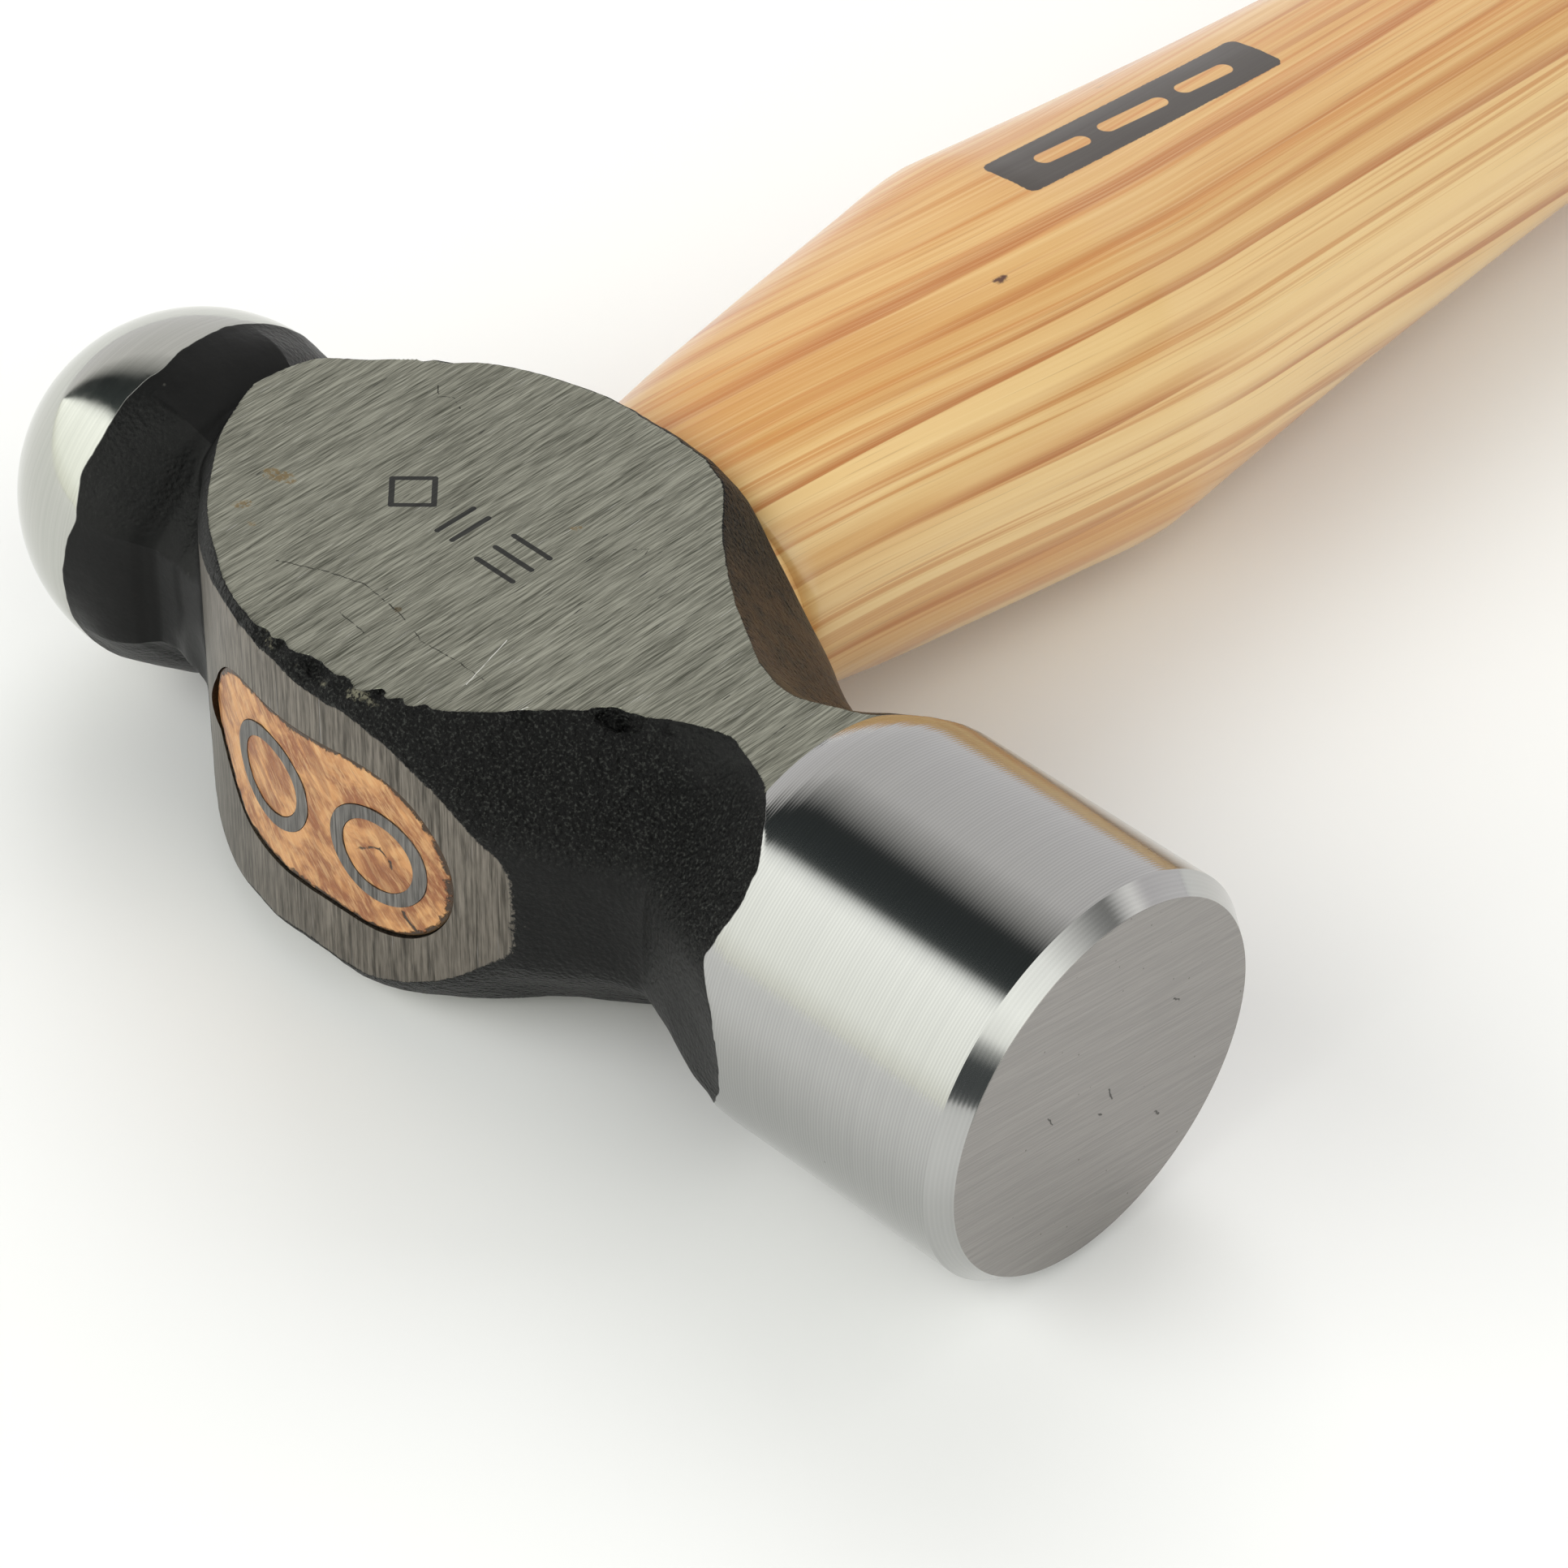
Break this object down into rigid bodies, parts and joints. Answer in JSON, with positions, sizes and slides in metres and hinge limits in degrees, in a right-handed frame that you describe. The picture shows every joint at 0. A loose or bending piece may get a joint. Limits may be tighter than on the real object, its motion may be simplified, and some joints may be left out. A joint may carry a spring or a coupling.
{
  "type": "ball peen hammer",
  "caption": "Ball peen hammer: forged steel head with a round flat face, flat cheeks and a ball, on an oval wooden handle held by tubular ring wedges.",
  "frame": {"origin": "middle of the eye, where the handle's axis crosses the head's axis", "axes": "+X along the head towards the flat striking face, +Y along the handle towards its butt, +Z square to the flat cheeks"},
  "size_m": [0.1152, 0.3832, 0.035],
  "materials": {
    "steel": "turned, ground and polished steel with black painted forging between",
    "wood": "clear lacquered straight-grained ash",
    "wedge_steel": "mild steel, ground flush with the head"
  },
  "bodies": {
    "root": {"head": "steel", "handle": "wood", "ring_wedge_face_side": "wedge_steel", "ring_wedge_ball_side": "wedge_steel"}
  },
  "joints": []
}
